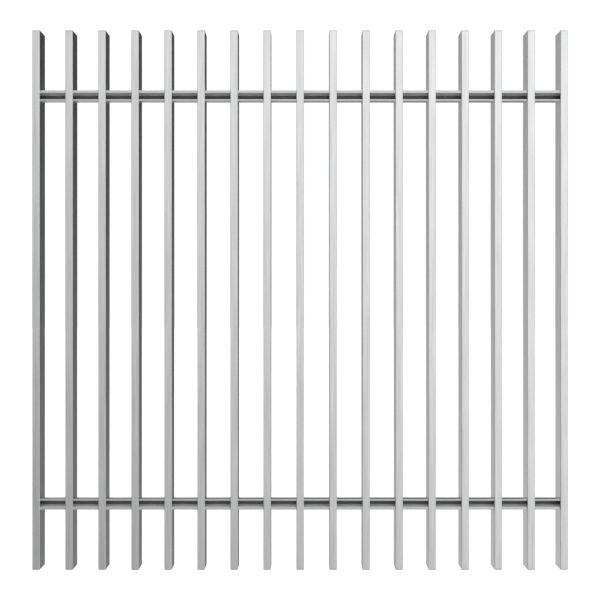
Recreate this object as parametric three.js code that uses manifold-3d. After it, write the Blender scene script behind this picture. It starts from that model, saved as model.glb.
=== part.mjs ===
// Vertical-bar metal barrier panel.
//
// Seventeen box-section bars, closed top and bottom by pressed-in end caps, are held by two
// rails with a rounded back and a deep groove along the front. The rails run through windows
// punched in the bars' side walls and stop inside the two end bars, whose outer walls stay whole.
// One section serves both rails: its thick lip is on top of the upper rail and, turned over,
// at the foot of the lower one.
//
// Units are millimetres. X runs along the panel, -Y is its front and +Z is up. The origin is
// at ground level under the middle of the panel.

import * as THREE from 'three';
import { mergeVertices } from 'three/addons/utils/BufferGeometryUtils.js';
import Module from 'manifold-3d';

const wasm = await Module();
wasm.setup();

// ---- Driving dimensions ----

const panelHeight = 1800;
const barCount = 17;
const barPitch = 110;
const barWidth = 25;
const barDepth = 50;
const barWall = 2;
const barCornerRadius = 2;

const railHeight = 35;
const railDepth = 33;
const railSetback = 5;
const railOuterLip = 9;
const railInnerLip = 5;
const railGrooveDepth = 29.5;
const railGrooveRadius = 4;
const railLipRadius = 0.6;
const railBackRadius = 12;
const railEndDistance = 200;

const capPlate = 4;
const capEdgeRadius = 3;
const capSpigotLength = 14;
const capSpigotWall = 1.6;
const capSpigotFit = 0.4;

const gap = 0.3;
const cutOverrun = 1;

// ---- Fineness of the rounded corners ----

const cornerSegments = 2;
const railCornerSegments = 4;

/** How far a rounded corner's curve handles reach towards the corner, for a true quarter circle. */
const roundCornerHold = 4 / 3 * (Math.SQRT2 - 1);

// ---- Finishes ----

const aluminiumColour = 0xc8cacb;
const barFinish = { color: aluminiumColour, roughness: 0.42, metalness: 1 };
const railFinish = { color: aluminiumColour, roughness: 0.34, metalness: 1 };
const capFinish = { color: aluminiumColour, roughness: 0.45, metalness: 1 };

// ---- Worked-out dimensions ----

const barLength = panelHeight - 2 * (capPlate + gap);
const firstBarX = -barPitch * (barCount - 1) / 2;
const railLength = barPitch * (barCount - 1) + barWidth - 2 * (barWall + gap);
const railCentreHeight = railEndDistance + railHeight / 2;
const railFront = railSetback - barDepth / 2;

// ---- Solids ----

/** Turns a closed geometry into a solid that can be joined and cut. */
function toSolid(geometry) {
  geometry.deleteAttribute('normal');
  geometry.deleteAttribute('uv');
  const merged = mergeVertices(geometry);
  return new wasm.Manifold(new wasm.Mesh({
    numProp: 3,
    vertProperties: merged.attributes.position.array,
    triVerts: merged.index.array,
  }));
}

/** Turns a solid back into a geometry. */
function toGeometry(solid) {
  const mesh = solid.getMesh();
  const geometry = new THREE.BufferGeometry();
  geometry.setAttribute('position', new THREE.BufferAttribute(mesh.vertProperties, 3));
  geometry.setIndex(new THREE.BufferAttribute(mesh.triVerts, 1));
  geometry.computeVertexNormals();
  return geometry;
}

/** A rectangle about the origin with its corners rounded. */
function roundedRectangle(width, height, radius) {
  const right = width / 2 - radius;
  const top = height / 2 - radius;
  const quarter = Math.PI / 2;
  const outline = new THREE.Shape();
  outline.absarc(right, top, radius, 0, quarter);
  outline.absarc(-right, top, radius, quarter, 2 * quarter);
  outline.absarc(-right, -top, radius, 2 * quarter, 3 * quarter);
  outline.absarc(right, -top, radius, 3 * quarter, 4 * quarter);
  outline.closePath();
  return outline;
}

/** A closed outline through [x, y, radius] corners, each eased by a curve of its radius. */
function easedOutline(corners) {
  const outline = new THREE.Shape();
  corners.forEach(([x, y, radius], i) => {
    const corner = new THREE.Vector2(x, y);
    const [beforeX, beforeY] = corners.at(i - 1);
    const [afterX, afterY] = corners[(i + 1) % corners.length];
    const entry = new THREE.Vector2(beforeX, beforeY).sub(corner).setLength(radius).add(corner);
    const exit = new THREE.Vector2(afterX, afterY).sub(corner).setLength(radius).add(corner);
    const entryHold = entry.clone().lerp(corner, roundCornerHold);
    const exitHold = exit.clone().lerp(corner, roundCornerHold);
    if (i === 0) {
      outline.moveTo(entry.x, entry.y);
    } else {
      outline.lineTo(entry.x, entry.y);
    }
    outline.bezierCurveTo(entryHold.x, entryHold.y, exitHold.x, exitHold.y, exit.x, exit.y);
  });
  outline.closePath();
  return outline;
}

/** Extrudes an outline by a length, centred on the outline's own plane. */
function extrude(outline, length, segments = cornerSegments) {
  const geometry = new THREE.ExtrudeGeometry(outline, {
    depth: length,
    bevelEnabled: false,
    curveSegments: segments,
  });
  geometry.translate(0, 0, -length / 2);
  return geometry;
}

/** Turns an extrusion so that its outline lies in the YZ plane and its length runs along X. */
function layAlongX(geometry) {
  const yAxis = new THREE.Vector3(0, 1, 0);
  const zAxis = new THREE.Vector3(0, 0, 1);
  const xAxis = new THREE.Vector3(1, 0, 0);
  return geometry.applyMatrix4(new THREE.Matrix4().makeBasis(yAxis, zAxis, xAxis));
}

/** Turns an extrusion so that its outline lies in the XZ plane and its length runs along Y. */
function layAlongY(geometry) {
  return geometry.rotateX(Math.PI / 2);
}

// ---- Bars ----

/** The hollow bar, without its rail windows, centred on the origin. */
function barTube() {
  const outside = toSolid(extrude(roundedRectangle(barWidth, barDepth, barCornerRadius), barLength));
  const hollowLength = barLength + 2 * barWall;
  const hollow = new THREE.BoxGeometry(barWidth - 2 * barWall, barDepth - 2 * barWall, hollowLength);
  return outside.subtract(toSolid(hollow));
}

/** The outline of a rail without its groove, grown by a margin on every side. */
function railEnvelope(margin) {
  const front = railFront - margin;
  const back = railFront + railDepth + margin;
  const rise = railHeight / 2 + margin;
  return easedOutline([
    [front, -rise, railLipRadius],
    [back, -rise, railBackRadius + margin],
    [back, rise, railBackRadius + margin],
    [front, rise, railLipRadius],
  ]);
}

/** The cutter for one rail window, reaching from one x to another at a height above the bar's middle. */
function windowCutter(fromX, toX, height) {
  const cutter = layAlongX(extrude(railEnvelope(gap), toX - fromX, railCornerSegments));
  cutter.translate((fromX + toX) / 2, 0, height);
  return toSolid(cutter);
}

/** A bar with its windows cut in the left wall, the right wall or both. */
function barGeometry(openLeft, openRight) {
  const fromX = openLeft ? -barWidth : 0;
  const toX = openRight ? barWidth : 0;
  const windowHeight = panelHeight / 2 - railCentreHeight;
  const bar = barTube()
    .subtract(windowCutter(fromX, toX, windowHeight))
    .subtract(windowCutter(fromX, toX, -windowHeight));
  return toGeometry(bar);
}

// ---- End caps ----

/** The visible plate of a cap, its outer face at z = 0 and its edges rounded over. */
function capPlateSolid() {
  const plan = toSolid(extrude(roundedRectangle(barWidth, barDepth, barCornerRadius), 2 * capPlate));
  const overHeight = 2 * capPlate + 2 * capEdgeRadius;
  const alongY = layAlongY(extrude(roundedRectangle(barWidth, overHeight, capEdgeRadius), barDepth));
  const alongX = layAlongX(extrude(roundedRectangle(barDepth, overHeight, capEdgeRadius), barWidth));
  alongY.translate(0, 0, -overHeight / 2);
  alongX.translate(0, 0, -overHeight / 2);
  return plan.intersect(toSolid(alongY)).intersect(toSolid(alongX));
}

/** The hollow spigot that presses into the bar, from the plate down. */
function capSpigotSolid() {
  const outerWidth = barWidth - 2 * (barWall + capSpigotFit);
  const outerDepth = barDepth - 2 * (barWall + capSpigotFit);
  const rootedLength = capSpigotLength + cutOverrun;
  const outside = new THREE.BoxGeometry(outerWidth, outerDepth, rootedLength);
  const inside = new THREE.BoxGeometry(
    outerWidth - 2 * capSpigotWall,
    outerDepth - 2 * capSpigotWall,
    rootedLength,
  );
  outside.translate(0, 0, cutOverrun - capPlate - rootedLength / 2);
  inside.translate(0, 0, -capPlate - rootedLength / 2);
  return { outside: toSolid(outside), inside: toSolid(inside) };
}

/** A whole cap with its outer face at z = 0 and its spigot pointing down. */
function capGeometry() {
  const spigot = capSpigotSolid();
  return toGeometry(capPlateSolid().add(spigot.outside).subtract(spigot.inside));
}

// ---- Rails ----

/** The rail's section: a groove between a thick outer lip and a thin inner one, and a rounded back. */
function railSection() {
  const back = railFront + railDepth;
  const grooveBack = railFront + railGrooveDepth;
  const rise = railHeight / 2;
  const grooveTop = rise - railOuterLip;
  const grooveFoot = railInnerLip - rise;
  return easedOutline([
    [railFront, -rise, railLipRadius],
    [back, -rise, railBackRadius],
    [back, rise, railBackRadius],
    [railFront, rise, railLipRadius],
    [railFront, grooveTop, railLipRadius],
    [grooveBack, grooveTop, railGrooveRadius],
    [grooveBack, grooveFoot, railGrooveRadius],
    [railFront, grooveFoot, railLipRadius],
  ]);
}

/** One rail with its thick lip on top, its middle height at z = 0, its length along X. */
function railGeometry() {
  return toGeometry(toSolid(layAlongX(extrude(railSection(), railLength, railCornerSegments))));
}

// ---- Assembly ----

function namedMesh(name, geometry, finish) {
  const mesh = new THREE.Mesh(geometry, new THREE.MeshStandardMaterial(finish));
  mesh.name = name;
  return mesh;
}

/** The bars from left to right, with the two end bars windowed on their inner side only. */
function makeBars() {
  const bars = new THREE.Group();
  const leftEnd = barGeometry(false, true);
  const middle = barGeometry(true, true);
  const rightEnd = barGeometry(true, false);
  for (let i = 0; i < barCount; i += 1) {
    const geometry = i === 0 ? leftEnd : i === barCount - 1 ? rightEnd : middle;
    const bar = namedMesh(`bar_${numberOf(i)}`, geometry, barFinish);
    bar.position.set(firstBarX + i * barPitch, 0, panelHeight / 2);
    bars.add(bar);
  }
  return bars;
}

/** The caps at one end of every bar. */
function makeCaps(prefix, height, turned) {
  const caps = new THREE.Group();
  const geometry = capGeometry();
  for (let i = 0; i < barCount; i += 1) {
    const cap = namedMesh(`${prefix}_${numberOf(i)}`, geometry, capFinish);
    cap.position.set(firstBarX + i * barPitch, 0, height);
    cap.rotation.x = turned ? Math.PI : 0;
    caps.add(cap);
  }
  return caps;
}

function makeRails() {
  const rails = new THREE.Group();
  const geometry = railGeometry();
  const top = namedMesh('rail_top', geometry, railFinish);
  const bottom = namedMesh('rail_bottom', geometry, railFinish);
  top.position.z = panelHeight - railCentreHeight;
  bottom.position.z = railCentreHeight;
  bottom.rotation.y = Math.PI;
  rails.add(top, bottom);
  return rails;
}

/** A two-digit number counted from 01 for a place in a row. */
function numberOf(index) {
  return String(index + 1).padStart(2, '0');
}

const panel = new THREE.Group();
panel.add(makeBars());
panel.add(makeCaps('cap_top', panelHeight, false));
panel.add(makeCaps('cap_bottom', 0, true));
panel.add(makeRails());

export default panel;
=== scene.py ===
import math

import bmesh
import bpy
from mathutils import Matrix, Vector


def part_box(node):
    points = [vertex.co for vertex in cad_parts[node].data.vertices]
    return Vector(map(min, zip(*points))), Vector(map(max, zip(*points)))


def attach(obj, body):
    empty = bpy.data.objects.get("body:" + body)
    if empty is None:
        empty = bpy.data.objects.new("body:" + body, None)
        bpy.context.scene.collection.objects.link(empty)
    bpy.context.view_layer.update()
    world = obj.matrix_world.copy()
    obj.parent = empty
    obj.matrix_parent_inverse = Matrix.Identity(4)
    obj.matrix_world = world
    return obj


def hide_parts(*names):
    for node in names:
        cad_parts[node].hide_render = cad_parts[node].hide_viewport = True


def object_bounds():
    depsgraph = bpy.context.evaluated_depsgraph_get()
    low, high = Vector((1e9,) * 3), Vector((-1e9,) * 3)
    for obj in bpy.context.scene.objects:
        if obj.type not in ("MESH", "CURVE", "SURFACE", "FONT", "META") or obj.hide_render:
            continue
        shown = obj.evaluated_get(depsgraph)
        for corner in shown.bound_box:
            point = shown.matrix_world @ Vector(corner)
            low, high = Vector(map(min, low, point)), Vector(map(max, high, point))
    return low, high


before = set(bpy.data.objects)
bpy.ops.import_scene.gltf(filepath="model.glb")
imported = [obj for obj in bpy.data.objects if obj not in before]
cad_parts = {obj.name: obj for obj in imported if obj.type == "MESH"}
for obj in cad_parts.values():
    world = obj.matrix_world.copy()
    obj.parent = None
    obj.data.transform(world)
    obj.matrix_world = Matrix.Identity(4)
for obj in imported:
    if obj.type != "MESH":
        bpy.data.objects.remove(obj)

# Looks of the vertical-bar barrier panel: brushed bars, pressed-in end caps and two
# grooved rails, each rebuilt as a finer mesh on the place of its CAD node.
# Metres throughout. X runs along the panel, -Y is its front and +Z is up.

cad_low, cad_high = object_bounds()
cad_middle_z = (cad_low.z + cad_high.z) / 2

# ---- Sizes that the frame's boxes don't give ----

BAR_COUNT = 17
BAR_WALL = 0.002
BAR_CORNER = 0.002
BAR_INNER_CORNER = 0.0006
BAR_END_EASE = 0.0003

CAP_PLATE = 0.004
CAP_EDGE = 0.003
CAP_UNDER_EASE = 0.0003
CAP_SHARPEST_CORNER = 0.0003
CAP_SPIGOT_FIT = 0.0004
CAP_SPIGOT_WALL = 0.0016

RAIL_OUTER_LIP = 0.009
RAIL_INNER_LIP = 0.005
RAIL_GROOVE_DEPTH = 0.0295
RAIL_GROOVE_CORNER = 0.004
RAIL_LIP_CORNER = 0.0006
RAIL_BACK_CORNER = 0.012

# How far the painted shade of the groove's back reaches on to its walls.
WEB_SHADE_MARGIN = 0.0012

# The gap all round a rail where it passes through a bar's wall.
WINDOW_GAP = 0.0003

WELD_LEG = 0.003
WELD_TURN = math.radians(45)
WELD_RIPPLE = 0.0024
WELD_RIPPLE_DEPTH = 0.16
WELD_STEPS_PER_RIPPLE = 4
WELD_FACETS = 5

# ---- Fineness of the meshes ----

QUARTER_TURN = math.pi / 2
CORNER_STEPS = 8
CAP_EDGE_STEPS = 8

# How far from a rounding the support points lie that keep the flats beside it flat.
EDGE_SUPPORT = 0.0005

SMOOTH_ANGLE = math.radians(40)
EDGE_LAYER = "edge"


# ---- Mesh helpers ----

def numbered(prefix, index):
    """The name of a numbered node or piece, counted from 01."""
    return f"{prefix}_{index + 1:02d}"


def arc(centre_x, centre_y, radius, start):
    """Points on a quarter circle that starts at an angle and turns anticlockwise."""
    turn = QUARTER_TURN / CORNER_STEPS
    angles = [start + turn * i for i in range(CORNER_STEPS + 1)]
    return [(centre_x + radius * math.cos(a), centre_y + radius * math.sin(a)) for a in angles]


def corner_with_supports(centre_x, centre_y, radius, start):
    """A rounded corner with a support point on the flat before it and on the flat after it."""
    points = arc(centre_x, centre_y, radius, start)
    along = (-math.sin(start), math.cos(start))
    first, last = points[0], points[-1]
    before = (first[0] - EDGE_SUPPORT * along[0], first[1] - EDGE_SUPPORT * along[1])
    after = (last[0] - EDGE_SUPPORT * along[1], last[1] + EDGE_SUPPORT * along[0])
    return [before, *points, after]


def rounded_ring(width, depth, radius, stops=()):
    """A rounded rectangle about the origin, from its right side round.

    The stops are the y of extra points on both its right and its left side.
    """
    right, back = width / 2 - radius, depth / 2 - radius
    return [
        *[(width / 2, y) for y in stops],
        *corner_with_supports(right, back, radius, 0),
        *corner_with_supports(-right, back, radius, QUARTER_TURN),
        *[(-width / 2, y) for y in reversed(stops)],
        *corner_with_supports(-right, -back, radius, 2 * QUARTER_TURN),
        *corner_with_supports(right, -back, radius, 3 * QUARTER_TURN),
    ]


def eased_outline(corners):
    """A closed outline through (y, z, radius) corners, rounded by arcs with a support point beside each."""
    points = []
    for i, (y, z, radius) in enumerate(corners):
        here = Vector((y, z))
        before = (Vector(corners[i - 1][:2]) - here).normalized()
        after = (Vector(corners[(i + 1) % len(corners)][:2]) - here).normalized()
        centre = here + radius * (before + after)
        points.append(here + (radius + EDGE_SUPPORT) * before)
        for step in range(CORNER_STEPS + 1):
            a = QUARTER_TURN * step / CORNER_STEPS
            points.append(centre - radius * (math.cos(a) * after + math.sin(a) * before))
        points.append(here + (radius + EDGE_SUPPORT) * after)
    return points


def box_centre(low, high):
    """The x and y of the middle of a box."""
    return (low.x + high.x) / 2, (low.y + high.y) / 2


def add_ring(mesh, outline, centre, z):
    """Vertices at a height, on an outline that is moved to a centre."""
    return [mesh.verts.new((centre[0] + x, centre[1] + y, z)) for x, y in outline]


def join_rings(mesh, lower, upper, skip=()):
    """Quads between two rings of the same length, leaving out the columns named in skip."""
    count = len(lower)
    for i in range(count):
        if i not in skip:
            j = (i + 1) % count
            mesh.faces.new((lower[i], lower[j], upper[j], upper[i]))


def new_mesh():
    """An empty bmesh with the layer that tells the materials where worn edges are."""
    mesh = bmesh.new()
    mesh.verts.layers.float.new(EDGE_LAYER)
    return mesh


def paint_edge(mesh, vertices, value):
    """Writes on some vertices how far they are a worn edge, from 0 to 1."""
    layer = mesh.verts.layers.float[EDGE_LAYER]
    for vertex in vertices:
        vertex[layer] = value


def finish_piece(mesh, name, materials, replaced):
    """Turns a bmesh into a smooth-shaded piece that rides on the panel and stands for CAD nodes."""
    bmesh.ops.recalc_face_normals(mesh, faces=mesh.faces)
    data = bpy.data.meshes.new(name)
    mesh.to_mesh(data)
    mesh.free()
    data.polygons.foreach_set("use_smooth", [True] * len(data.polygons))
    data.set_sharp_from_angle(angle=SMOOTH_ANGLE)
    for material in materials:
        data.materials.append(material)
    piece = bpy.data.objects.new(name, data)
    bpy.context.scene.collection.objects.link(piece)
    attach(piece, "root")
    if replaced:
        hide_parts(*replaced)


# ---- Node material helpers ----

SOFT_NOISE = {"Detail": 2.0, "Roughness": 0.5}
FINE_NOISE = {"Detail": 3.0, "Roughness": 0.6}

# The middle of a noise's range, where most of its values lie.
NOISE_LOW = 0.3
NOISE_HIGH = 0.7

# What makes a grey a trace cool.
COOL_TINT = {"Red": 0.992, "Green": 0.998, "Blue": 1.004}


def new_material(name, metallic):
    """A new node material, with its tree and its shader."""
    material = bpy.data.materials.new(name)
    material.use_nodes = True
    tree = material.node_tree
    shader = tree.nodes["Principled BSDF"]
    shader.inputs["Metallic"].default_value = metallic
    return material, tree, shader


def add_node(tree, kind, **settings):
    node = tree.nodes.new(kind)
    for key, value in settings.items():
        setattr(node, key, value)
    return node


def even_grain(size):
    """Noise scales for grain of one size along every axis."""
    return [1 / size] * 3


def long_grain(axis, width, length):
    """Noise scales for grain that is drawn out along one axis."""
    scale = even_grain(width)
    scale[axis] = 1 / length
    return scale


def stretched_noise(tree, scale, settings):
    """Noise in the panel's own coordinates, with its grain sized by a scale along each axis."""
    place = add_node(tree, "ShaderNodeTexCoord")
    mapping = add_node(tree, "ShaderNodeMapping")
    noise = add_node(tree, "ShaderNodeTexNoise")
    mapping.inputs["Scale"].default_value = scale
    noise.inputs["Scale"].default_value = 1.0
    for key, value in settings.items():
        noise.inputs[key].default_value = value
    tree.links.new(place.outputs["Object"], mapping.inputs["Vector"])
    tree.links.new(mapping.outputs["Vector"], noise.inputs["Vector"])
    return noise.outputs["Fac"]


def to_range(tree, noise, low, high):
    """Spreads the middle of a noise's range over a new range."""
    spread = add_node(tree, "ShaderNodeMapRange")
    spread.inputs["From Min"].default_value = NOISE_LOW
    spread.inputs["From Max"].default_value = NOISE_HIGH
    spread.inputs["To Min"].default_value = low
    spread.inputs["To Max"].default_value = high
    tree.links.new(noise, spread.inputs["Value"])
    return spread.outputs["Result"]


def vary(tree, noise, middle, reach):
    """Lets a noise vary a value by a reach to both sides of its middle."""
    return to_range(tree, noise, middle - reach, middle + reach)


def combine(tree, operation, first, second):
    """A math node on two values, each a socket or a number."""
    node = add_node(tree, "ShaderNodeMath", operation=operation)
    for socket, value in zip(node.inputs, (first, second)):
        if isinstance(value, (int, float)):
            socket.default_value = value
        else:
            tree.links.new(value, socket)
    return node.outputs["Value"]


def grey(tree, value):
    """A grey colour, a trace cool, whose brightness is a value."""
    colour = add_node(tree, "ShaderNodeCombineColor")
    for channel, tint in COOL_TINT.items():
        tree.links.new(combine(tree, "MULTIPLY", value, tint), colour.inputs[channel])
    return colour.outputs["Color"]


def add_relief(tree, shader, height, strength, distance):
    """A fine surface relief from a height."""
    relief = add_node(tree, "ShaderNodeBump")
    relief.inputs["Strength"].default_value = strength
    relief.inputs["Distance"].default_value = distance
    tree.links.new(height, relief.inputs["Height"])
    tree.links.new(relief.outputs["Normal"], shader.inputs["Normal"])


# ---- Materials ----

# The axes that grain can be drawn out along.
ALONG_X = 0
ALONG_Z = 2

# A worn edge is lighter and smoother than the metal beside it.
LEAST_WEAR = 0.2
WORN_TONE = 0.04
WORN_POLISH = 0.06

STREAK_WIDTH = 0.006
STREAK_LENGTH = 0.22
BRUSH_WIDTH = 0.00045
BRUSH_LENGTH = 0.03
BRUSH_TONE = 0.012
BRUSH_ROUGHNESS = 0.04
BRUSH_RELIEF = 0.00003
CLOUD_SIZE = 0.12
CLOUD_ROUGHNESS = 0.025

CAP_GRAIN_SIZE = 0.0007
CAP_GRAIN_ROUGHNESS = 0.05
CAP_RELIEF_STRENGTH = 0.25
CAP_RELIEF = 0.00004
CAP_CLOUD_SIZE = 0.02
CAP_CLOUD_TONE = 0.015

WELD_GRAIN_SIZE = 0.0008
WELD_ROUGHNESS_LOW = 0.34
WELD_ROUGHNESS_HIGH = 0.5
WELD_RELIEF_STRENGTH = 0.3
WELD_RELIEF = 0.0001
WELD_PATCH_SIZE = 0.006

# Position on the patches' noise and colour of the two heat tints of a weld.
WELD_TINTS = (
    (0.35, (0.50, 0.50, 0.53, 1)),
    (0.65, (0.66, 0.64, 0.59, 1)),
)


def worn_edge(tree, grain):
    """How worn the metal is: the painted edges, broken up by a fine grain."""
    edge = add_node(tree, "ShaderNodeAttribute", attribute_name=EDGE_LAYER).outputs["Fac"]
    return combine(tree, "MULTIPLY", edge, to_range(tree, grain, LEAST_WEAR, 1.0))


def finish_metal(tree, shader, unworn_tone, unworn_roughness, worn):
    """Gives a shader its tone and roughness, both changed where the metal is worn."""
    tone = combine(tree, "ADD", unworn_tone, combine(tree, "MULTIPLY", worn, WORN_TONE))
    roughness = combine(
        tree, "SUBTRACT", unworn_roughness, combine(tree, "MULTIPLY", worn, WORN_POLISH)
    )
    tree.links.new(grey(tree, tone), shader.inputs["Base Color"])
    tree.links.new(roughness, shader.inputs["Roughness"])


def brushed_metal(name, axis, tone, tone_spread, roughness, bump, metallic):
    """Metal with streaks and fine brush lines along an axis, and soft clouds of roughness."""
    material, tree, shader = new_material(name, metallic)
    streaks = stretched_noise(tree, long_grain(axis, STREAK_WIDTH, STREAK_LENGTH), SOFT_NOISE)
    brush = stretched_noise(tree, long_grain(axis, BRUSH_WIDTH, BRUSH_LENGTH), FINE_NOISE)
    clouds = stretched_noise(tree, even_grain(CLOUD_SIZE), SOFT_NOISE)
    worn = worn_edge(tree, brush)
    unworn_tone = combine(
        tree, "ADD",
        vary(tree, streaks, tone, tone_spread),
        vary(tree, brush, 0, BRUSH_TONE),
    )
    unworn_roughness = combine(
        tree, "ADD",
        vary(tree, clouds, roughness, CLOUD_ROUGHNESS),
        vary(tree, brush, 0, BRUSH_ROUGHNESS),
    )
    finish_metal(tree, shader, unworn_tone, unworn_roughness, worn)
    add_relief(tree, shader, brush, bump, BRUSH_RELIEF)
    return material


def satin_metal(name, tone, roughness):
    """Bead-blasted metal with an even fine grain."""
    material, tree, shader = new_material(name, 1.0)
    grain = stretched_noise(tree, even_grain(CAP_GRAIN_SIZE), FINE_NOISE)
    clouds = stretched_noise(tree, even_grain(CAP_CLOUD_SIZE), SOFT_NOISE)
    unworn_tone = vary(tree, clouds, tone, CAP_CLOUD_TONE)
    unworn_roughness = vary(tree, grain, roughness, CAP_GRAIN_ROUGHNESS)
    finish_metal(tree, shader, unworn_tone, unworn_roughness, worn_edge(tree, grain))
    add_relief(tree, shader, grain, CAP_RELIEF_STRENGTH, CAP_RELIEF)
    return material


def weld_metal(name):
    """Weld bead with a fine grain and patches of a faint straw and blue heat tint."""
    material, tree, shader = new_material(name, 1.0)
    grain = stretched_noise(tree, even_grain(WELD_GRAIN_SIZE), FINE_NOISE)
    patches = stretched_noise(tree, even_grain(WELD_PATCH_SIZE), SOFT_NOISE)
    tint = add_node(tree, "ShaderNodeValToRGB")
    for element, (position, colour) in zip(tint.color_ramp.elements, WELD_TINTS):
        element.position = position
        element.color = colour
    roughness = to_range(tree, grain, WELD_ROUGHNESS_LOW, WELD_ROUGHNESS_HIGH)
    tree.links.new(patches, tint.inputs["Fac"])
    tree.links.new(tint.outputs["Color"], shader.inputs["Base Color"])
    tree.links.new(roughness, shader.inputs["Roughness"])
    add_relief(tree, shader, grain, WELD_RELIEF_STRENGTH, WELD_RELIEF)
    return material


# ---- The rails' place and their windows in the bars, from the frame ----

rail_boxes = {name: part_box(name) for name in ("rail_bottom", "rail_top")}
rail_low, rail_high = rail_boxes["rail_top"]
rail_front, rail_back = rail_low.y, rail_high.y
rail_rise = (rail_high.z - rail_low.z) / 2
rail_centres = [(low.z + high.z) / 2 for low, high in rail_boxes.values()]

window_front, window_back = rail_front - WINDOW_GAP, rail_back + WINDOW_GAP
window_rise = rail_rise + WINDOW_GAP
window_back_corner = RAIL_BACK_CORNER + WINDOW_GAP

# Where a window's roundings start and end: along Y, and in height about the rail's middle.
window_stops = (
    window_front,
    window_front + RAIL_LIP_CORNER,
    window_back - window_back_corner,
    window_back,
)
window_rises = (
    -window_rise,
    -window_rise + RAIL_LIP_CORNER,
    -window_rise + window_back_corner,
    window_rise - window_back_corner,
    window_rise - RAIL_LIP_CORNER,
    window_rise,
)


# ---- Bars ----

STOPS = len(window_stops)
RISES = len(window_rises)

# A ring's corner has its arc and two support points, and two corners part the sides with stops.
CORNER_POINTS = CORNER_STEPS + 3
RIGHT_SIDE = 0
LEFT_SIDE = STOPS + 2 * CORNER_POINTS

# The first column of each rounded corner of a ring with stops.
CORNER_STARTS = (
    STOPS,
    STOPS + CORNER_POINTS,
    2 * STOPS + 2 * CORNER_POINTS,
    2 * STOPS + 3 * CORNER_POINTS,
)

# Rings at each end of a bar, outside the windows.
END_LEVELS = 2


def bar_heights(low_z, high_z):
    """The heights of a bar's rings: two at each end and one at each rise of both windows."""
    heights = [low_z, low_z + BAR_END_EASE]
    for centre in rail_centres:
        heights += [centre + rise for rise in window_rises]
    return [*heights, high_z - BAR_END_EASE, high_z]


def bar_windows(index):
    """The (first column, first level) of each window. An end bar has none on its outer side."""
    sides = []
    if index < BAR_COUNT - 1:
        sides.append(RIGHT_SIDE)
    if index > 0:
        sides.append(LEFT_SIDE)
    return [(side, END_LEVELS + rail * RISES) for side in sides for rail in range(len(rail_centres))]


def window_cells(side_start, first_level):
    """The (column, band) cells under one window."""
    columns = range(side_start, side_start + STOPS - 1)
    bands = range(first_level, first_level + RISES - 1)
    return {(column, band) for column in columns for band in bands}


def window_grid(skin, side_start, first_level):
    """grid[stop][rise]: the skin's vertices round a window, from the front back and from below up."""
    columns = range(side_start, side_start + STOPS)
    if side_start == LEFT_SIDE:
        columns = reversed(columns)
    return [[skin[first_level + rise][column] for rise in range(RISES)] for column in columns]


def rounded_corner(mesh, corner, across, upward):
    """Fills the wall outside a window's rounded corner, and gives the corner's rim.

    The vertices in across and upward run from the corner along the window's two sides to
    where its rounding starts.
    """
    start, end = across[-1], upward[-1]
    centre = start.co + end.co - corner.co
    rim = [start]
    for step in range(1, CORNER_STEPS):
        a = QUARTER_TURN * step / CORNER_STEPS
        point = centre + math.cos(a) * (start.co - centre) + math.sin(a) * (end.co - centre)
        rim.append(mesh.verts.new(point))
    rim.append(end)
    mesh.faces.new([corner, *across[:-1], *rim, *reversed(upward[:-1])])
    return rim


def window_rim(mesh, grid):
    """The closed rim of one window in one skin of the wall, with the wall filled in at its corners."""
    front, back = grid[0], grid[-1]
    foot_front = rounded_corner(mesh, front[0], [grid[1][0]], [front[1]])
    foot_back = rounded_corner(mesh, back[0], [grid[-2][0]], back[1:3])
    top_back = rounded_corner(mesh, back[-1], [grid[-2][-1]], back[-2:-4:-1])
    top_front = rounded_corner(mesh, front[-1], [grid[1][-1]], [front[-2]])
    return [*reversed(foot_front), *foot_back, *reversed(top_back), *top_front, *front[-3:1:-1]]


def make_bar(index, material):
    """One hollow bar with eased ends, and windows where the rails pass through its side walls."""
    node = numbered("bar", index)
    low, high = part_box(node)
    width, depth = high.x - low.x, high.y - low.y
    centre = box_centre(low, high)
    stops = [y - centre[1] for y in window_stops]
    eased = rounded_ring(
        width - 2 * BAR_END_EASE, depth - 2 * BAR_END_EASE, BAR_CORNER - BAR_END_EASE, stops
    )
    full = rounded_ring(width, depth, BAR_CORNER, stops)
    hollow = rounded_ring(width - 2 * BAR_WALL, depth - 2 * BAR_WALL, BAR_INNER_CORNER, stops)
    mesh = new_mesh()
    heights = bar_heights(low.z, high.z)
    outer, inner = [], []
    for z in heights:
        at_end = z in (heights[0], heights[-1])
        outer.append(add_ring(mesh, eased if at_end else full, centre, z))
        inner.append(add_ring(mesh, hollow, centre, z))
    windows = bar_windows(index)
    cells = set().union(*(window_cells(side, level) for side, level in windows))
    for band in range(len(heights) - 1):
        skip = {column for column, open_band in cells if open_band == band}
        join_rings(mesh, outer[band], outer[band + 1], skip)
        join_rings(mesh, inner[band], inner[band + 1], skip)
    for side, level in windows:
        rims = [window_rim(mesh, window_grid(skin, side, level)) for skin in (outer, inner)]
        join_rings(mesh, *rims)
    join_rings(mesh, outer[0], inner[0])
    join_rings(mesh, outer[-1], inner[-1])
    arc_columns = [start + i for start in CORNER_STARTS for i in range(1, CORNER_STEPS + 2)]
    paint_edge(mesh, [ring[column] for ring in outer for column in arc_columns], 1.0)
    finish_piece(mesh, numbered("bar_tube", index), [material], [node])


# ---- End caps ----

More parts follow.
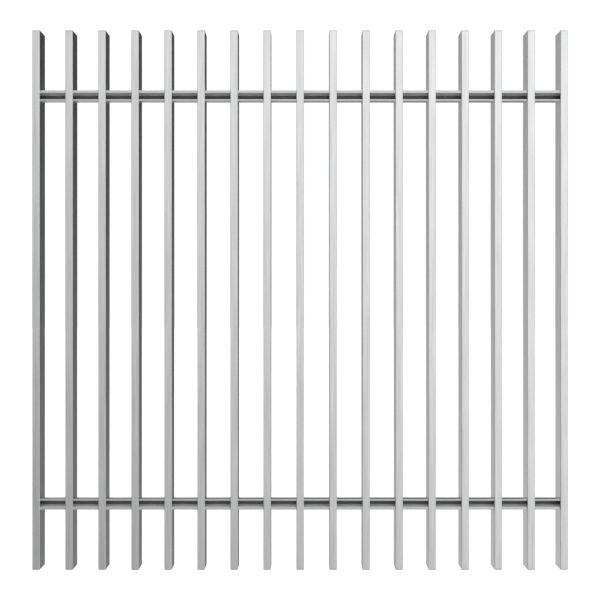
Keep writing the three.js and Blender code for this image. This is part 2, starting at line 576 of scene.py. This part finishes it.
def cap_profile(total):
    """(inset, depth below the outer face, worn edge) of a cap's rings, from its face to in its spigot."""
    rings = [(CAP_EDGE + EDGE_SUPPORT, 0, 0.0)]
    for step in range(CAP_EDGE_STEPS + 1):
        a = QUARTER_TURN * step / CAP_EDGE_STEPS
        rings.append((CAP_EDGE * (1 - math.sin(a)), CAP_EDGE * (1 - math.cos(a)), 1.0))
    spigot_outside = BAR_WALL + CAP_SPIGOT_FIT
    spigot_inside = spigot_outside + CAP_SPIGOT_WALL
    return [
        *rings,
        (0, CAP_PLATE - CAP_UNDER_EASE, 0.0),
        (CAP_UNDER_EASE, CAP_PLATE, 0.0),
        (spigot_outside, CAP_PLATE, 0.0),
        (spigot_outside, total, 0.0),
        (spigot_inside, total, 0.0),
        (spigot_inside, CAP_PLATE, 0.0),
    ]


def make_cap(prefix, index, material):
    """One end cap: a plate with rounded edges over a hollow spigot that sits in the bar."""
    node = numbered(prefix, index)
    low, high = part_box(node)
    on_top = high.z > cad_middle_z
    face, direction = (high.z, -1) if on_top else (low.z, 1)
    width, depth = high.x - low.x, high.y - low.y
    centre = box_centre(low, high)
    mesh = new_mesh()
    rows = []
    for inset, below, worn in cap_profile(high.z - low.z):
        radius = max(BAR_CORNER - inset, CAP_SHARPEST_CORNER)
        outline = rounded_ring(width - 2 * inset, depth - 2 * inset, radius)
        row = add_ring(mesh, outline, centre, face + direction * below)
        paint_edge(mesh, row, worn)
        rows.append(row)
    for lower, upper in zip(rows, rows[1:]):
        join_rings(mesh, lower, upper)
    mesh.faces.new(rows[0])
    mesh.faces.new(rows[-1])
    finish_piece(mesh, numbered(f"end_{prefix}", index), [material], [node])


# ---- Rails ----

# The places in a rail's list of materials. The groove walls' material is lightened with painted light and
# the web's darkened with painted shade.
OUTSIDE = 0
GROOVE_WALL = 1
WEB = 2


def rail_corners(turned):
    """The (y, z, radius) corners of a rail's section about its middle height."""
    groove_back = rail_front + RAIL_GROOVE_DEPTH
    groove_top = rail_rise - RAIL_OUTER_LIP
    groove_foot = RAIL_INNER_LIP - rail_rise
    corners = [
        (rail_front, -rail_rise, RAIL_LIP_CORNER),
        (rail_back, -rail_rise, RAIL_BACK_CORNER),
        (rail_back, rail_rise, RAIL_BACK_CORNER),
        (rail_front, rail_rise, RAIL_LIP_CORNER),
        (rail_front, groove_top, RAIL_LIP_CORNER),
        (groove_back, groove_top, RAIL_GROOVE_CORNER),
        (groove_back, groove_foot, RAIL_GROOVE_CORNER),
        (rail_front, groove_foot, RAIL_LIP_CORNER),
    ]
    return [(y, -z if turned else z, radius) for y, z, radius in corners]


def rail_surface(y, height, turned):
    """Which of the rail's materials a point of its section has."""
    level = -height if turned else height
    below_groove = level <= RAIL_INNER_LIP - rail_rise - EDGE_SUPPORT
    above_groove = level >= rail_rise - RAIL_OUTER_LIP + EDGE_SUPPORT
    before_groove = y < rail_front + RAIL_LIP_CORNER
    behind_groove = y > rail_front + RAIL_GROOVE_DEPTH + EDGE_SUPPORT
    if below_groove or above_groove or before_groove or behind_groove:
        return OUTSIDE
    # The groove's back takes the dark painted shade, and its walls the lighter painted light.
    return WEB if y > rail_front + RAIL_GROOVE_DEPTH - WEB_SHADE_MARGIN else GROOVE_WALL


def make_rail(node, materials):
    """One grooved rail, from inside one end bar to inside the other, its thick lip outermost."""
    low, high = rail_boxes[node]
    centre_z = (low.z + high.z) / 2
    turned = node == "rail_bottom"
    outline = eased_outline(rail_corners(turned))
    mesh = new_mesh()
    ends = [[mesh.verts.new((x, y, centre_z + z)) for y, z in outline] for x in (low.x, high.x)]
    join_rings(mesh, ends[0], ends[1])
    for face in mesh.faces:
        middle = face.calc_center_median()
        face.material_index = rail_surface(middle.y, middle.z - centre_z, turned)
    closing = [mesh.faces.new(end) for end in ends]
    bmesh.ops.triangulate(mesh, faces=closing)
    finish_piece(mesh, f"{node}_profile", materials, [node])


# ---- Welds behind the rails ----

def weld_path():
    """(y, z, outward y, outward z) down the back of a rail, from half way round one corner to the other."""
    step = WELD_RIPPLE / WELD_STEPS_PER_RIPPLE
    corner_y = rail_back - RAIL_BACK_CORNER
    flat = rail_rise - RAIL_BACK_CORNER
    turn_count = round(RAIL_BACK_CORNER * WELD_TURN / step)
    flat_count = round(2 * flat / step)
    turn = []
    for i in range(turn_count + 1):
        a = WELD_TURN * (1 - i / turn_count)
        out_y, out_z = math.cos(a), math.sin(a)
        turn.append((corner_y + RAIL_BACK_CORNER * out_y, flat + RAIL_BACK_CORNER * out_z, out_y, out_z))
    straight = [(rail_back, flat - 2 * flat * i / flat_count, 1, 0) for i in range(1, flat_count)]
    return [*turn, *straight, *[(y, -z, out_y, -out_z) for y, z, out_y, out_z in reversed(turn)]]


def add_weld(mesh, wall_x, side, centre_z):
    """One rippled fillet bead between the back of a rail and a bar's side wall."""
    rows = []
    for i, (y, z, out_y, out_z) in enumerate(weld_path()):
        hollow = 0.5 + 0.5 * math.cos(2 * math.pi * i / WELD_STEPS_PER_RIPPLE)
        leg = WELD_LEG * (1 - WELD_RIPPLE_DEPTH * hollow)
        row = []
        for k in range(WELD_FACETS + 1):
            a = QUARTER_TURN * k / WELD_FACETS
            x = wall_x + side * leg * math.cos(a)
            lift = leg * math.sin(a)
            row.append(mesh.verts.new((x, y + out_y * lift, centre_z + z + out_z * lift)))
        row.append(mesh.verts.new((wall_x, y, centre_z + z)))
        rows.append(row)
    for lower, upper in zip(rows, rows[1:]):
        join_rings(mesh, lower, upper)
    mesh.faces.new(rows[0])
    mesh.faces.new(rows[-1])


def make_welds(node, material):
    """All the beads of one rail, on both sides of each bar that it meets."""
    low, high = rail_boxes[node]
    centre_z = (low.z + high.z) / 2
    mesh = new_mesh()
    for index in range(BAR_COUNT):
        bar_low, bar_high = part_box(numbered("bar", index))
        if index > 0:
            add_weld(mesh, bar_low.x, -1, centre_z)
        if index < BAR_COUNT - 1:
            add_weld(mesh, bar_high.x, 1, centre_z)
    finish_piece(mesh, f"{node}_welds", [material], [])


# ---- Studio ----

# The lens and the sensor are in millimetres.
CAMERA_DISTANCE = 2.3
CAMERA_LENS = 41.44
CAMERA_SENSOR = 36
CAMERA_SHIFT_ASIDE = -0.0005
CAMERA_NEAR = 0.05

BACKDROP_STRENGTH = 1.05

FLOOR_SIZE = 40.0
FLOOR_DROP = 0.0005
FLOOR_TONE = 0.9
FLOOR_GLOW = 0.8

# Soft panels of light round the object: name, azimuth from the front in degrees, positive to
# the right, elevation in degrees, and strength.
SOFT_PANELS = (
    ("overhead right", 45, 60, 0.85),
    ("overhead left", -45, 60, 0.90),
    ("front high", 0, 20, 0.60),
    ("front right high", 35, 20, 0.65),
    ("front left high", -45, 20, 0.27),
    ("back left high", -135, 20, 0.50),
    ("front low", 0, -20, 0.23),
    ("front left low", -45, -20, 0.12),
    ("front right low", 35, -20, 0.65),
    ("right low", 105, -20, 0.35),
    ("back low", 180, -20, 0.20),
    ("back left low", -135, -20, 0.50),
    ("below back right", 135, -60, 0.35),
    ("below back left", -135, -60, 0.70),
)

# How quickly a panel's light falls off round its middle.
PANEL_FOCUS = 6


def panel_direction(azimuth, elevation):
    """The unit vector towards a panel of light."""
    a, e = math.radians(azimuth), math.radians(elevation)
    return Vector((math.sin(a) * math.cos(e), -math.cos(a) * math.cos(e), math.sin(e)))


def panel_light(tree, place, azimuth, elevation, strength):
    """The light of one soft panel in the direction that the place gives."""
    facing = add_node(tree, "ShaderNodeVectorMath", operation="DOT_PRODUCT")
    facing.inputs[1].default_value = panel_direction(azimuth, elevation)
    tree.links.new(place, facing.inputs[0])
    front = combine(tree, "MAXIMUM", facing.outputs["Value"], 0.0)
    return combine(tree, "MULTIPLY", combine(tree, "POWER", front, PANEL_FOCUS), strength)


def make_world():
    """White to the camera, and soft panels of light to everything else."""
    world = bpy.data.worlds.new("studio")
    bpy.context.scene.world = world
    world.use_nodes = True
    tree = world.node_tree
    tree.nodes.clear()
    place = add_node(tree, "ShaderNodeTexCoord").outputs["Generated"]
    total = 0.0
    for _, azimuth, elevation, strength in SOFT_PANELS:
        total = combine(tree, "ADD", total, panel_light(tree, place, azimuth, elevation, strength))
    lit = add_node(tree, "ShaderNodeBackground")
    tree.links.new(total, lit.inputs["Color"])
    backdrop = add_node(tree, "ShaderNodeBackground")
    backdrop.inputs["Color"].default_value = (1, 1, 1, 1)
    backdrop.inputs["Strength"].default_value = BACKDROP_STRENGTH
    path = add_node(tree, "ShaderNodeLightPath")
    mix = add_node(tree, "ShaderNodeMixShader")
    out = add_node(tree, "ShaderNodeOutputWorld")
    tree.links.new(path.outputs["Is Camera Ray"], mix.inputs["Fac"])
    tree.links.new(lit.outputs["Background"], mix.inputs[1])
    tree.links.new(backdrop.outputs["Background"], mix.inputs[2])
    tree.links.new(mix.outputs["Shader"], out.inputs["Surface"])


def make_floor():
    """A plain pale floor under the panel, hidden from its reflections and bounced light."""
    material, tree, shader = new_material("pale_floor", 0.0)
    shader.inputs["Base Color"].default_value = (FLOOR_TONE, FLOOR_TONE, FLOOR_TONE, 1)
    shader.inputs["Roughness"].default_value = 1.0
    shader.inputs["Specular IOR Level"].default_value = 0.0
    shader.inputs["Emission Color"].default_value = (1, 1, 1, 1)
    shader.inputs["Emission Strength"].default_value = FLOOR_GLOW
    mesh = bmesh.new()
    bmesh.ops.create_grid(mesh, x_segments=1, y_segments=1, size=FLOOR_SIZE / 2)
    data = bpy.data.meshes.new("floor")
    mesh.to_mesh(data)
    mesh.free()
    data.materials.append(material)
    floor = bpy.data.objects.new("floor", data)
    floor.location.z = cad_low.z - FLOOR_DROP
    floor.visible_glossy = False
    floor.visible_diffuse = False
    bpy.context.scene.collection.objects.link(floor)


def make_camera():
    """The camera faces the middle of the panel squarely from its front."""
    data = bpy.data.cameras.new("camera")
    data.sensor_width = CAMERA_SENSOR
    data.lens = CAMERA_LENS
    data.clip_start = CAMERA_NEAR
    camera = bpy.data.objects.new("camera", data)
    camera.location = (CAMERA_SHIFT_ASIDE, cad_low.y - CAMERA_DISTANCE, cad_middle_z)
    camera.rotation_euler = (QUARTER_TURN, 0, 0)
    bpy.context.scene.collection.objects.link(camera)
    bpy.context.scene.camera = camera


# ---- Build ----

def make_rail_materials():
    """A rail's materials, in the order of their places: outside, groove walls lightened as painted light,
    and web darkened as painted shade.
    """
    finish = {"axis": ALONG_X, "tone_spread": 0.02, "bump": 0.4}
    return [
        brushed_metal("rail_metal", tone=0.70, roughness=0.45, metallic=0.7, **finish),
        # The groove walls' lighter, non-metallic tone is painted light against the shade inside the groove.
        brushed_metal("rail_groove_painted_light", tone=0.84, roughness=0.5, metallic=0.0, **finish),
        # The web's very dark tone is painted shade deep in the groove.
        brushed_metal("rail_web_painted_shade", tone=0.12, roughness=0.5, metallic=0.0, **finish),
    ]


def build_panel():
    bar_metal = brushed_metal(
        "bar_metal", ALONG_Z, tone=0.78, tone_spread=0.07, roughness=0.40, bump=0.5, metallic=1.0
    )
    rail_metals = make_rail_materials()
    cap_metal = satin_metal("cap_metal", tone=0.78, roughness=0.42)
    bead_metal = weld_metal("weld_bead")
    for index in range(BAR_COUNT):
        make_bar(index, bar_metal)
        make_cap("cap_top", index, cap_metal)
        make_cap("cap_bottom", index, cap_metal)
    for node in rail_boxes:
        make_rail(node, rail_metals)
        make_welds(node, bead_metal)


bpy.context.scene.view_settings.view_transform = "Standard"
make_camera()
make_world()
make_floor()
build_panel()
